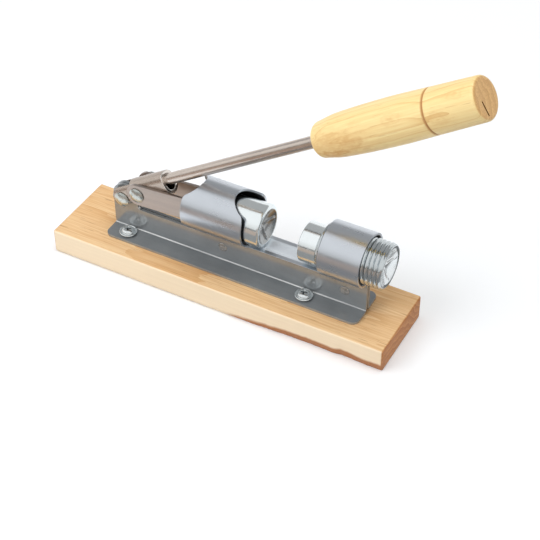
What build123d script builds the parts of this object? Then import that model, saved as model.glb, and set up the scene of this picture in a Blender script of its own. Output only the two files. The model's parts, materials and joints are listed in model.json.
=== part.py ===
from build123d import *
from math import cos, radians, sin, sqrt
import os

# Lever nutcracker on a wooden base. A hand lever turns on a riveted pivot and, through
# two links, pushes a ram along a barrel towards a screwed anvil. The nut lies in the
# barrel's open window and is cracked between the ram and the anvil's cup.
# Millimetres. +X runs along the base towards the anvil, +Z is up, and the origin is the
# centre of the base's underside. The lever stands as it is photographed.

# Wooden base
board_length = 250.0
board_width = 60.0
board_thickness = 18.5
board_edge = 1.0

# Folded steel rails
sheet = 1.8
web_gap = 1.0
rail_half_width = 16.8
rail_corner = 5.0
bend_radius = 1.0
web_height = 19.5
ear_radius = 9.6
ear_root = 2.0

# Barrel: one tube, open on top between the ram's end and the anvil's end
barrel_height = 43.1
barrel_outer = 18.4
barrel_wall = 1.8
barrel_rear = -28.2
barrel_front = 100.2
window_rear = 16.5
window_front = 71.5
window_corner = 4.0
lip_half_width = 9.0
notch_radius = 14.3
rear_notch_depth = 8.8
front_scoop_depth = 11.5
notch_corner = 3.5
seat_gap = 0.05

# Lever pivot, crank and links
pivot_x = -81.5
pivot_height = 27.7
crank_length = 16.7
crank_angle = 35.5
link_length = 64.0
link_rear_radius = 8.1
link_front_radius = 8.8
link_sheet = 2.0
lever_angle = 32.5

# Yoke, rod and handle, along the lever from the pivot
rod_radius = 4.0
rod_offset = 3.1
rod_chamfer = 0.6
rod_in_handle = 40.0
rod_clear = 1.2
yoke_sheet = 2.4
yoke_front = 42.0
yoke_below = 7.0
ear_clear = 1.4
handle_start = 173.2
handle_length = 118.2
handle_nose = 8.0
handle_shoulder = 11.4
handle_swell = 13.4
swell_from_nose = 16.8
handle_belly = 14.5
belly_from_nose = 54.8
handle_waist = 13.9
groove_from_end = 33.8
handle_tail = 13.2
handle_end_round = 1.4
groove_depth = 0.7
groove_width = 1.6

# Pivot rivets, web rivets and wood screws
rivet_radius = 3.0
rivet_head = 5.4
rivet_head_height = 2.1
rivet_rim = 0.5
button_head_height = 3.6
button_head_rim = 2.6
washer_radius = 6.0
washer_thickness = 1.6
web_rivet_radius = 2.0
web_rivet_head = 3.3
web_rivet_proud = 0.4
web_rivet_height = 12.8
rear_web_rivet_x = -5.9
front_web_rivet_x = 84.6
screw_x = (-77.0, 58.5)
screw_y = 8.8
screw_shank = 2.0
screw_length = 16.0
screw_point = 4.0
screw_flange = 5.4
screw_flange_thickness = 1.9
screw_pan = 4.1
screw_pan_height = 2.1
screw_cross_width = 0.9
screw_cross_reach = 2.6
screw_cross_depth = 1.7
screw_cross_turn = 30.0
screw_tip = 0.3

# Ram
ram_slack = 1.6
pin_to_face = 31.2
pin_to_tail = 14.0
ram_pin_radius = 3.0
ram_pin_reach = 12.5
ram_rim_chamfer = 2.0

# Misfit at the ram pin between the true swing of the links and the steady ratios of the joints
pin_play = 1.4
pin_shift_x = 0.73
pin_shift_z = 0.37

# Anvil: a threaded screw, with a cup that swivels loosely in its inner end
cup_face_x = 55.0
cup_length = 12.7
anvil_length = 46.0
anvil_neck_length = 1.0
anvil_neck_radius = 14.0
thread_pitch = 3.0
thread_depth = 1.0
thread_gap = 1.0
cup_radius = 13.6
cup_slack = 1.6
cup_rim_chamfer = 0.8
cup_shank = 5.0
cup_neck = 8.0
cup_head = 8.2
cup_head_length = 4.0
nut_length = 16.0
nut_inset = 6.0

# Ribbed bowls in the ram, the cup and the outer end of the anvil
bowl_rim_wall = 2.6
bowl_floor = 3.0
bowl_depth = 5.0
rib_height = 1.1
rib_width = 1.8
rib_arms = 2

# Fits
running_gap = 0.3
bore_fit = 0.05
side_gap = 0.15
hole_slack = 0.3

# Derived places
board_top = board_thickness
flange_top = board_top + sheet
web_inner = web_gap / 2
web_outer = web_inner + sheet
axis_z = board_top + barrel_height
barrel_bore = barrel_outer - barrel_wall
pivot_z = board_top + pivot_height
rail_rear = pivot_x - ear_radius
rail_front = barrel_front
crank_x = pivot_x + crank_length * cos(radians(crank_angle))
crank_z = pivot_z + crank_length * sin(radians(crank_angle))
yoke_bore = rod_radius + bore_fit
yoke_outer = yoke_bore + yoke_sheet
link_inner = yoke_outer + side_gap
link_outer = link_inner + link_sheet
ram_radius = barrel_bore - ram_slack
ram_z = axis_z - (barrel_bore - ram_radius - running_gap)
pin_x = crank_x + sqrt(link_length**2 - (ram_z - crank_z) ** 2)
ram_face_x = pin_x + pin_to_face
ram_tail_x = pin_x - pin_to_tail
thread_crest = barrel_bore - thread_gap
thread_root = thread_crest - thread_depth
anvil_start = cup_face_x + cup_length + side_gap
anvil_end = anvil_start + anvil_length
thread_ridges = int((anvil_length - anvil_neck_length) / thread_pitch)
thread_start = anvil_end - thread_ridges * thread_pitch
cup_z = axis_z - cup_slack
cup_head_x = anvil_start + cup_neck
handle_end = handle_start + handle_length


def slab(outline, low_y, high_y):
    # A side outline drawn in X and Z, given a thickness in Y
    face = Plane((0, high_y, 0), x_dir=(1, 0, 0), z_dir=(0, -1, 0))
    return extrude(face * outline, high_y - low_y)


def rod_x(radius, start, end, z=0.0, y=0.0):
    # A round bar along X
    return Pos((start + end) / 2, y, z) * Rot(0, 90, 0) * Cylinder(radius, end - start)


def rod_y(radius, low, high, x=0.0, z=0.0):
    # A round bar along Y
    return Pos(x, (low + high) / 2, z) * Rot(90, 0, 0) * Cylinder(radius, high - low)


def on_lever(shape):
    # Lever pieces are drawn with the pivot at the origin and the lever along +X
    return Pos(pivot_x, 0, pivot_z) * Rot(0, -lever_angle, 0) * shape


def dome(radius, height, rim):
    # A low round head on the XY plane: a straight rim under a ball-shaped crown
    crown = height - rim
    ball = (radius**2 + crown**2) / (2 * crown)
    cap = Pos(0, 0, height - ball) * Sphere(ball)
    return cap & Pos(0, 0, height / 2) * Cylinder(radius, height)


def base_board():
    board = Pos(0, 0, board_thickness / 2) * Box(board_length, board_width, board_thickness)
    board = chamfer(board.edges(), board_edge)
    for x in screw_x:
        for y in (-screw_y, screw_y):
            depth = screw_length - sheet
            board -= Pos(x, y, board_top - depth / 2) * Cylinder(screw_shank + bore_fit, depth)
    return board


def web_outline():
    # The web from the side: a round ear at the pivot, then a straight top, then full height
    floor = Pos((rail_rear + rail_front) / 2, board_top + web_height / 2)
    outline = floor * Rectangle(rail_front - rail_rear, web_height)
    post_height = pivot_z - board_top
    outline += Pos(pivot_x, board_top + post_height / 2) * Rectangle(2 * ear_radius, post_height)
    outline += Pos(pivot_x, pivot_z) * Circle(ear_radius)
    root_x = pivot_x + ear_radius
    root_z = board_top + web_height
    corner = Pos(root_x + ear_root / 2, root_z + ear_root / 2) * Rectangle(ear_root, ear_root)
    outline += corner - Pos(root_x + ear_root, root_z + ear_root) * Circle(ear_root)
    carrier = Pos((barrel_rear + rail_front) / 2, (board_top + axis_z) / 2)
    return outline + carrier * Rectangle(rail_front - barrel_rear, barrel_height)


def near_rail():
    length = rail_front - rail_rear
    rise = axis_z - board_top
    middle = (rail_rear + rail_front) / 2
    flange_width = rail_half_width - web_inner
    flange = Pos(middle, -(web_inner + flange_width / 2), board_top + sheet / 2)
    rail = flange * Box(length, flange_width, sheet)
    web = Pos(middle, -(web_inner + sheet / 2), board_top + rise / 2) * Box(length, sheet, rise)
    rail += web
    inside = rail.edges().filter_by(Axis.X).sort_by_distance((middle, -web_outer, flange_top))[0]
    rail = fillet(inside, bend_radius)
    outside = rail.edges().filter_by(Axis.X).sort_by_distance((middle, -web_inner, board_top))[0]
    rail = fillet(outside, bend_radius + sheet)
    plan = Pos(middle, 0) * RectangleRounded(length, 2 * rail_half_width, rail_corner)
    rail &= extrude(Pos(0, 0, board_top) * plan, rise)
    rail &= slab(web_outline(), -rail_half_width, 0)
    rail -= rod_x(barrel_outer + seat_gap, barrel_rear - sheet, barrel_front + sheet, axis_z)
    rail -= rod_y(rivet_radius + bore_fit, -rail_half_width, 0, pivot_x, pivot_z)
    for x in (rear_web_rivet_x, front_web_rivet_x):
        rivet_z = board_top + web_rivet_height
        rail -= rod_y(web_rivet_radius + bore_fit, -rail_half_width, 0, x, rivet_z)
    for x in screw_x:
        rail -= Pos(x, -screw_y, board_top + sheet / 2) * Cylinder(screw_shank + hole_slack, sheet)
    return rail


def barrel():
    tube = rod_x(barrel_outer, barrel_rear, barrel_front, axis_z)
    tube -= rod_x(barrel_bore, barrel_rear, barrel_front, axis_z)
    top = 2 * barrel_outer
    # The window takes the tube's sides and top away down to a narrow gutter
    lip_drop = sqrt(barrel_outer**2 - lip_half_width**2)
    lip_z = axis_z - lip_drop
    opening_x = (window_rear + window_front) / 2
    opening = Pos(opening_x, lip_z + top / 2) * Rectangle(window_front - window_rear, top)
    opening = fillet(opening.vertices().group_by(Axis.Y)[0], window_corner)
    tube -= slab(opening, -top, top)
    # A round notch at the rear clears the lever, and a round scoop in front bares the ram
    rear_notch_x = barrel_rear + rear_notch_depth - notch_radius
    front_scoop_x = window_rear - front_scoop_depth + notch_radius
    for end_x, notch_x, side in ((barrel_rear, rear_notch_x, -1), (window_rear, front_scoop_x, 1)):
        notch = Pos(notch_x, 0) * Circle(notch_radius)
        notch += Pos(end_x + side * top / 2, 0) * Rectangle(top, 2 * top)
        # Where the round meets the tube's end, the corners are rounded off
        corner_y = sqrt(notch_radius**2 - (end_x - notch_x) ** 2)
        corners = [notch.vertices().sort_by_distance((end_x, y))[0] for y in (-corner_y, corner_y)]
        notch = fillet(corners, notch_corner)
        tube -= extrude(Pos(0, 0, axis_z) * notch, top)
    return tube


def ridged_bar():
    # The screw's thread, drawn as round ridges a pitch apart that meet in narrow valleys
    outline = Curve() + Polyline(
        (anvil_end, thread_root),
        (anvil_end, 0),
        (thread_start, 0),
        (thread_start, thread_root),
    )
    for ridge in range(thread_ridges):
        low = thread_start + ridge * thread_pitch
        top = low + thread_pitch / 2
        high = low + thread_pitch
        outline += ThreePointArc((low, thread_root), (top, thread_crest), (high, thread_root))
    return Pos(0, 0, axis_z) * revolve(Plane.XZ * make_face(outline), Axis.X)


def grip_bowl(radius):
    # Cutter for a conical bowl with crossed ribs; it opens towards +Z at the XY plane
    rim = radius - bowl_rim_wall
    bowl = Pos(0, 0, -bowl_depth / 2) * Cone(bowl_floor, rim, bowl_depth)
    shallow = Pos(0, 0, rib_height) * bowl
    for arm in range(rib_arms):
        bowl -= Rot(0, 0, arm * 180 / rib_arms) * Box(4 * radius, rib_width, 4 * bowl_depth)
    return bowl + shallow


def anvil_nut():
    end = barrel_front - nut_inset
    start = end - nut_length
    # A plain bush that the ridges turn and slide in
    bush = rod_x(barrel_bore - seat_gap, start, end, axis_z)
    return bush - rod_x(thread_crest + running_gap, start, end, axis_z)


def anvil_screw():
    screw = ridged_bar() + rod_x(anvil_neck_radius, anvil_start, thread_start, axis_z)
    screw -= Pos(anvil_end, 0, axis_z) * Rot(0, 90, 0) * grip_bowl(thread_root)
    # The cup's shank goes in by a narrow mouth, and its head turns in a wider chamber behind
    screw -= rod_x(cup_shank + cup_slack + running_gap, anvil_start, cup_head_x, axis_z)
    chamber_start = cup_head_x - side_gap
    chamber_end = cup_head_x + cup_head_length + side_gap
    return screw - rod_x(cup_head + cup_slack + running_gap, chamber_start, chamber_end, axis_z)


def anvil_cup():
    nose_end = cup_face_x + cup_length
    cup = rod_x(cup_radius, cup_face_x, nose_end, cup_z)
    cup = chamfer(cup.edges().sort_by(Axis.X)[0], cup_rim_chamfer)
    cup -= Pos(cup_face_x, 0, cup_z) * Rot(0, -90, 0) * grip_bowl(cup_radius)
    cup += rod_x(cup_shank, nose_end, cup_head_x, cup_z)
    return cup + rod_x(cup_head, cup_head_x, cup_head_x + cup_head_length, cup_z)


def ram():
    body = rod_x(ram_radius, ram_tail_x, ram_face_x, ram_z)
    body = chamfer(body.edges().sort_by(Axis.X)[-1], ram_rim_chamfer)
    body -= Pos(ram_face_x, 0, ram_z) * Rot(0, 90, 0) * grip_bowl(ram_radius)
    # Two slots from the tail take the links, and an oversize cross hole takes their pin
    slot_front = pin_x + pin_shift_x + link_front_radius + pin_play
    slot_width = link_sheet + 2 * running_gap
    slot_x = (ram_tail_x + slot_front) / 2
    for side in (-1, 1):
        slot = Box(slot_front - ram_tail_x, slot_width, 2 * ram_radius)
        body -= Pos(slot_x, side * (link_inner + link_outer) / 2, ram_z) * slot
    hole_x = pin_x + pin_shift_x
    hole_z = ram_z + pin_shift_z
    return body - rod_y(ram_pin_radius + pin_play, -ram_radius, ram_radius, hole_x, hole_z)


def ram_pin():
    pin = rod_y(ram_pin_radius, -ram_pin_reach, ram_pin_reach, pin_x, ram_z)
    return chamfer(pin.edges(), rivet_rim)


def near_link():
    # A flat bar with round ends, a little wider towards the ram
    rear_end = Pos(crank_x, crank_z) * Circle(link_rear_radius)
    front_end = Pos(pin_x, ram_z) * Circle(link_front_radius)
    outline = make_hull([*rear_end.edges(), *front_end.edges()])
    link = slab(outline, -link_outer, -link_inner)
    link -= rod_y(rivet_radius + bore_fit, -link_outer, -link_inner, crank_x, crank_z)
    return link - rod_y(ram_pin_radius + bore_fit, -link_outer, -link_inner, pin_x, ram_z)


def yoke():
    # A sheet rolled round the rod into an oval socket, open at the rear where its cheeks hold the pivots
    along = Plane((-ear_radius, 0, rod_offset), x_dir=(0, 1, 0), z_dir=(1, 0, 0))
    drop = rod_offset + yoke_below - yoke_outer
    oval = Pos(0, -drop / 2) * Rot(0, 0, 90)
    section = oval * SlotCenterToCenter(drop, 2 * yoke_outer)
    section -= oval * SlotCenterToCenter(drop, 2 * yoke_bore)
    socket = extrude(along * section, yoke_front + ear_radius)
    # From the side the rear end is round about the pivot, and rises to the crown
    crown = rod_offset + yoke_outer
    heel = (-yoke_below, 0)
    brow = (crown - yoke_below, crown)
    side = Curve() + RadiusArc((0, -yoke_below), heel, yoke_below)
    side += RadiusArc(heel, brow, crown)
    side += Polyline(brow, (yoke_front, crown), (yoke_front, -yoke_below), (0, -yoke_below))
    socket &= slab(make_face(side), -yoke_outer, yoke_outer)
    # Slotted above and below for the ear of the rails
    slot_front = ear_radius + ear_clear
    slot_length = slot_front + ear_radius
    slot = Box(slot_length, 2 * yoke_bore, 4 * crown)
    socket -= Pos(slot_front - slot_length / 2, 0, 0) * slot
    turn = radians(crank_angle - lever_angle)
    for x, z in ((0, 0), (crank_length * cos(turn), crank_length * sin(turn))):
        socket -= rod_y(rivet_radius + bore_fit, -yoke_outer, yoke_outer, x, z)
    return on_lever(socket)


def lever_rod():
    start = crank_length + rivet_radius + rod_clear
    bar = rod_x(rod_radius, start, handle_start + rod_in_handle, rod_offset)
    return on_lever(chamfer(bar.edges().filter_by(GeomType.CIRCLE), rod_chamfer))


def handle():
    nose_round = handle_shoulder - handle_nose
    groove_at = handle_end - groove_from_end
    round_start = handle_end - handle_end_round
    tail = handle_tail - handle_end_round
    side = Spline(
        (handle_start + nose_round, handle_shoulder),
        (handle_start + swell_from_nose, handle_swell),
        (handle_start + belly_from_nose, handle_belly),
        (groove_at, handle_waist),
        (round_start, handle_tail),
    )
    outline = Curve() + Line((handle_start, 0), (handle_start, handle_nose))
    outline += RadiusArc((handle_start, handle_nose), side @ 0, nose_round)
    outline += side
    outline += RadiusArc(side @ 1, (handle_end, tail), handle_end_round)
    outline += Polyline((handle_end, tail), (handle_end, 0), (handle_start, 0))
    lip = groove_width / 2
    groove = Polyline(
        (groove_at - lip, handle_waist + groove_depth),
        (groove_at, handle_waist - groove_depth),
        (groove_at + lip, handle_waist + groove_depth),
        close=True,
    )
    grip = revolve(Plane.XZ * (make_face(outline) - make_face(groove)), Axis.X)
    grip -= rod_x(rod_radius + bore_fit, handle_start, handle_start + rod_in_handle)
    return on_lever(Pos(0, 0, rod_offset) * grip)


def pivot_rivet():
    head_face = yoke_outer + side_gap
    rivet = rod_y(rivet_radius, -head_face, head_face)
    for turn in (-90, 90):
        rivet += Rot(turn, 0, 0) * Pos(0, 0, head_face) * dome(rivet_head, rivet_head_height, rivet_rim)
    return Pos(pivot_x, 0, pivot_z) * rivet


def pivot_washer(side):
    low = web_outer
    high = yoke_bore - side_gap
    ring = rod_y(rivet_head, low, high) - rod_y(rivet_radius + bore_fit, low, high)
    ring = Pos(pivot_x, 0, pivot_z) * ring
    return ring if side > 0 else mirror(ring, Plane.XZ)


def link_rivet():
    head_face = link_outer + side_gap
    far_face = head_face + washer_thickness
    rivet = rod_y(rivet_radius, -head_face, far_face)
    rivet += Rot(90, 0, 0) * Pos(0, 0, head_face) * dome(rivet_head, rivet_head_height, rivet_rim)
    rivet += Rot(-90, 0, 0) * Pos(0, 0, far_face) * dome(rivet_head, button_head_height, button_head_rim)
    return Pos(crank_x, 0, crank_z) * rivet


def link_washer():
    low = link_outer + side_gap
    ring = rod_y(washer_radius, low, low + washer_thickness)
    ring -= rod_y(rivet_radius + bore_fit, low, low + washer_thickness)
    return Pos(crank_x, 0, crank_z) * ring


def web_rivet(x):
    shank = rod_y(web_rivet_radius, -web_outer, web_outer)
    for turn in (-90, 90):
        disc = Cylinder(web_rivet_head, web_rivet_proud)
        disc = chamfer(disc.edges().sort_by(Axis.Z)[-1], web_rivet_proud / 2)
        shank += Rot(turn, 0, 0) * Pos(0, 0, web_outer + web_rivet_proud / 2) * disc
    return Pos(x, 0, board_top + web_rivet_height) * shank


def wood_screw(x, y):
    straight = screw_length - screw_point
    screw = Pos(0, 0, -straight / 2) * Cylinder(screw_shank, straight)
    screw += Pos(0, 0, -straight - screw_point / 2) * Cone(screw_tip, screw_shank, screw_point)
    flange = Cylinder(screw_flange, screw_flange_thickness)
    flange = chamfer(flange.edges().sort_by(Axis.Z)[-1], screw_flange_thickness / 2)
    screw += Pos(0, 0, screw_flange_thickness / 2) * flange
    screw += Pos(0, 0, screw_flange_thickness) * dome(screw_pan, screw_pan_height, rivet_rim)
    top = screw_flange_thickness + screw_pan_height
    for turn in (0, 90):
        arm = Box(2 * screw_cross_reach, screw_cross_width, 2 * screw_cross_depth)
        screw -= Pos(0, 0, top) * Rot(0, 0, turn + screw_cross_turn) * arm
    return Pos(x, y, flange_top) * screw


rail = near_rail()
link = near_link()
pieces = {
    "base_board": base_board(),
    "near_rail": rail,
    "far_rail": mirror(rail, Plane.XZ),
    "barrel": barrel(),
    "anvil_nut": anvil_nut(),
    "rear_web_rivet": web_rivet(rear_web_rivet_x),
    "front_web_rivet": web_rivet(front_web_rivet_x),
    "near_rear_screw": wood_screw(screw_x[0], -screw_y),
    "near_front_screw": wood_screw(screw_x[1], -screw_y),
    "far_rear_screw": wood_screw(screw_x[0], screw_y),
    "far_front_screw": wood_screw(screw_x[1], screw_y),
    "pivot_rivet": pivot_rivet(),
    "near_pivot_washer": pivot_washer(-1),
    "far_pivot_washer": pivot_washer(1),
    "yoke": yoke(),
    "lever_rod": lever_rod(),
    "handle": handle(),
    "link_rivet": link_rivet(),
    "link_washer": link_washer(),
    "near_link": link,
    "far_link": mirror(link, Plane.XZ),
    "ram_pin": ram_pin(),
    "ram": ram(),
    "anvil_cup": anvil_cup(),
    "anvil_screw": anvil_screw(),
}

os.makedirs("parts", exist_ok=True)
for name, shape in pieces.items():
    export_step(shape, f"parts/{name}.step")
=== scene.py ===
import bmesh
import bpy
import json
from math import atan2, cos, exp, pi, radians, sin, sqrt
from mathutils import Matrix, Vector, noise


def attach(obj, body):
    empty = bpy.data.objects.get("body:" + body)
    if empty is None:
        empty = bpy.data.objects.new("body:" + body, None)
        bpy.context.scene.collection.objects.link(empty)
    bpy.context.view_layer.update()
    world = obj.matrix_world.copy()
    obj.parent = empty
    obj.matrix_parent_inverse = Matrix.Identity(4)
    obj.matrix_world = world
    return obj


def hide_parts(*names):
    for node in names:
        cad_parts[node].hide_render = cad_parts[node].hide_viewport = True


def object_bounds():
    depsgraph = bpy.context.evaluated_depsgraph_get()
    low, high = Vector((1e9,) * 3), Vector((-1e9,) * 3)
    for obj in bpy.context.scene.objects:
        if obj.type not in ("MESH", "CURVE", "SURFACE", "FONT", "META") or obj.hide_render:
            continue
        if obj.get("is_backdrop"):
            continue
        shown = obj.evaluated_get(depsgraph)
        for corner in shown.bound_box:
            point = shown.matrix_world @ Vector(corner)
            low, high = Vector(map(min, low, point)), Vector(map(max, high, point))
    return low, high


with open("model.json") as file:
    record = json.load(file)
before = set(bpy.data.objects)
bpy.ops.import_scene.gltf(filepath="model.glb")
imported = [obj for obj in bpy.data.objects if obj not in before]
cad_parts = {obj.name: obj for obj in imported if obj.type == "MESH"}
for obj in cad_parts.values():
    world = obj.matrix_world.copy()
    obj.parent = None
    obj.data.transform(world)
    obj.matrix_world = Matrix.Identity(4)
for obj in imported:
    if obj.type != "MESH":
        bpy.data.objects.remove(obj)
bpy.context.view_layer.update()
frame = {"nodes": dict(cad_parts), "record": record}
nodes = frame["nodes"]
mm = 0.001
slack = 0.1  # millimetres by which one group of profile points is told from the next


# small helpers for node trees

def feed(tree, node, inputs):
    for key, value in inputs.items():
        if isinstance(value, bpy.types.NodeSocket):
            tree.links.new(value, node.inputs[key])
        else:
            node.inputs[key].default_value = value


def addNode(tree, kind, inputs=None, **settings):
    node = tree.nodes.new(kind)
    for key, value in settings.items():
        setattr(node, key, value)
    feed(tree, node, inputs or {})
    return node


def mathNode(tree, operation, first, second):
    return addNode(tree, "ShaderNodeMath", {0: first, 1: second}, operation=operation).outputs[0]


def times(tree, first, second):
    return mathNode(tree, "MULTIPLY", first, second)


def plus(tree, first, second):
    return mathNode(tree, "ADD", first, second)


def mixColor(tree, share, first, second, blend="MIX"):
    inputs = {0: share, 6: first, 7: second}
    return addNode(tree, "ShaderNodeMix", inputs, data_type="RGBA", blend_type=blend).outputs[2]


def ramp(tree, share, stops):
    node = addNode(tree, "ShaderNodeValToRGB", {0: share})
    band = node.color_ramp
    while len(band.elements) < len(stops):
        band.elements.new(0.5)
    for element, (place, color) in zip(band.elements, stops):
        element.position = place
        element.color = color
    return node.outputs[0]


def grey(value):
    return (value, value, value, 1)


def greyRamp(tree, share, stops):
    return ramp(tree, share, [(place, grey(value)) for place, value in stops])


def shaded(tree, color, share, stops):
    # a colour darkened by a ramp of greys
    return mixColor(tree, 1.0, color, greyRamp(tree, share, stops), "MULTIPLY")


def rgb(red, green, blue):
    # screen values out of 255 to the linear values that shaders take
    def linear(value):
        value /= 255
        return value / 12.92 if value <= 0.04045 else ((value + 0.055) / 1.055) ** 2.4
    return (linear(red), linear(green), linear(blue), 1)


def noiseFac(tree, vector, scale, detail, roughness):
    inputs = {"Vector": vector, "Scale": scale, "Detail": detail, "Roughness": roughness}
    return addNode(tree, "ShaderNodeTexNoise", inputs).outputs[0]


def stretch(tree, vector, scale, place=(0, 0, 0)):
    inputs = {"Vector": vector, "Location": place, "Scale": scale}
    return addNode(tree, "ShaderNodeMapping", inputs).outputs[0]


def grainFac(tree, vector, scale, detail, roughness):
    # noise with a scale of its own along each axis
    return noiseFac(tree, stretch(tree, vector, scale), 1.0, detail, roughness)


def turnSpot(tree, vector, turn):
    return addNode(tree, "ShaderNodeMapping", {"Vector": vector, "Rotation": (0, turn, 0)}).outputs[0]


def vectorNode(tree, operation, first, second=(0, 0, 0)):
    node = addNode(tree, "ShaderNodeVectorMath", {0: first, 1: second}, operation=operation)
    return node.outputs["Value" if operation in ("LENGTH", "DISTANCE") else "Vector"]


def partOf(tree, vector, axis):
    return addNode(tree, "ShaderNodeSeparateXYZ", {0: vector}).outputs[axis]


def meshMark(tree, name):
    return addNode(tree, "ShaderNodeAttribute", attribute_name=name).outputs["Fac"]


def startMaterial(name):
    material = bpy.data.materials.new(name)
    material.use_nodes = True
    tree = material.node_tree
    spot = addNode(tree, "ShaderNodeTexCoord").outputs["Object"]
    return material, tree, tree.nodes["Principled BSDF"], spot


# metals: one recipe, set for each finish

plating = {
    # what the finishes share; the noises have a detail and a roughness
    "metallic": 1.0, "turn": 0.0, "toneNoise": (4, 0.6), "fineNoise": (2, 0.5), "streakNoise": (3, 0.6),
    "streakBand": (0.3, 0.7), "pitEdge": 0.06, "roughBand": (0.3, 0.7), "streakRough": 0.6, "toneRough": 0.4,
    "fineRelief": 0.5, "bumpReach": 0.0002, "bevelSamples": 6,
}
lever = {"pivot": (-81.5, 0.0, 46.2), "angle": 32.5, "rodOffset": 3.1}
leverTurn = -radians(lever["angle"])
linkTurn = radians(-4.0)
finishes = {
    "rail_zinc": {
        "metallic": 0.5, "dark": rgb(139, 144, 147), "light": rgb(186, 190, 192),
        "blotch": 34, "grain": 1400, "streak": (26, 300, 300), "streakDepth": 0.07,
        "pitAt": 0.3, "pitDepth": 0.12, "roughness": (0.09, 0.17), "edge": 0.5, "bump": 0.012,
        # painted shade on faces that look up, and a painted highlight along the bent corners
        "bend": {"upPaintedShade": [(0.5, 1.0), (0.9, 0.74)], "highlightBreakup": [(0.38, 0.35), (0.6, 1.0)],
                 "facing": [(0.1, 0.0), (0.3, 1.0), (0.8, 1.0), (0.95, 0.0)], "color": rgb(226, 228, 228)}},
    "webRivet": {
        "metallic": 0.6, "dark": rgb(160, 160, 158), "light": rgb(206, 204, 200),
        "blotch": 260, "grain": 900, "streak": (300, 300, 300), "streakDepth": 0.2,
        "pitAt": 0.36, "pitDepth": 0.4, "roughness": (0.2, 0.34), "edge": 0.3, "bump": 0.08},
    "barrel_steel": {
        "dark": rgb(200, 206, 213), "light": rgb(218, 223, 230),
        "blotch": 18, "grain": 1700, "streak": (60, 240, 240), "streakDepth": 0.05,
        "pitAt": 0.28, "pitDepth": 0.1, "roughness": (0.26, 0.33), "edge": 0.4, "bump": 0.02,
        # inside the tube: a painted reflection where it looks up, painted shade where it looks down
        "bore": {"axis": (0, 0, 0.0616), "radius": 0.0171, "metallic": 0.35,
                 "colors": [(0.6, rgb(58, 60, 64)), (0.8, rgb(228, 235, 242))]}},
    "thread_zinc": {
        "dark": rgb(190, 197, 200), "light": rgb(212, 218, 220),
        "blotch": 60, "grain": 1500, "streak": (500, 90, 90), "streakDepth": 0.06,
        "pitAt": 0.28, "pitDepth": 0.12, "roughness": (0.1, 0.17), "edge": 0.2, "bump": 0.015,
        "bowl": {"color": rgb(232, 236, 238), "roughness": 0.24}},
    "screw_zinc": {
        "metallic": 0.94, "dark": rgb(216, 223, 225), "light": rgb(242, 246, 247),
        "blotch": 140, "grain": 1800, "streak": (200, 200, 200), "streakDepth": 0.1,
        "pitAt": 0.3, "pitDepth": 0.2, "roughness": (0.12, 0.22), "edge": 0.3, "bump": 0.03,
        # bottoms of the screw recesses: painted shade
        "bowl": {"color": rgb(112, 118, 120), "roughness": 0.4}},
    "rivet_zinc": {
        "dark": rgb(194, 201, 197), "light": rgb(226, 230, 226),
        "blotch": 160, "grain": 700, "streak": (260, 260, 260), "streakDepth": 0.16,
        "pitAt": 0.34, "pitDepth": 0.35, "roughness": (0.2, 0.34), "edge": 0.3, "bump": 0.06},
    "yokePlate": {
        "dark": rgb(176, 163, 152), "light": rgb(200, 187, 176), "turn": -leverTurn,
        "blotch": 34, "grain": 1500, "streak": (24, 500, 500), "streakDepth": 0.1,
        "pitAt": 0.3, "pitDepth": 0.14, "roughness": (0.22, 0.3), "edge": 1.1, "bump": 0.02,
        # painted highlight on the cut end of the rolled sheet
        "rimHighlight": {"from": -0.0024, "color": rgb(228, 222, 216), "roughness": 0.14}},
    "linkPlate": {
        "dark": rgb(168, 156, 149), "light": rgb(190, 178, 170), "turn": -linkTurn,
        "blotch": 30, "grain": 1500, "streak": (20, 420, 420), "streakDepth": 0.14,
        "pitAt": 0.3, "pitDepth": 0.14, "roughness": (0.26, 0.36), "edge": 0.4, "bump": 0.025},
    "rodPlate": {
        "dark": rgb(202, 190, 180), "light": rgb(224, 213, 204), "turn": -leverTurn,
        "blotch": 40, "grain": 1500, "streak": (16, 300, 300), "streakDepth": 0.1,
        "pitAt": 0.28, "pitDepth": 0.08, "roughness": (0.2, 0.27), "edge": 0.4, "bump": 0.01},
    "chrome_plate": {
        "dark": rgb(234, 241, 243), "light": rgb(245, 251, 252),
        "blotch": 40, "grain": 1200, "streak": (300, 60, 60), "streakDepth": 0.03,
        "pitAt": 0.24, "pitDepth": 0.08, "roughness": (0.13, 0.21), "edge": 0.35, "bump": 0.008,
        # ram and cup bowls: painted shade in the hollow
        "bowl": {"color": rgb(166, 168, 168), "roughness": 0.22}},
}


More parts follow.
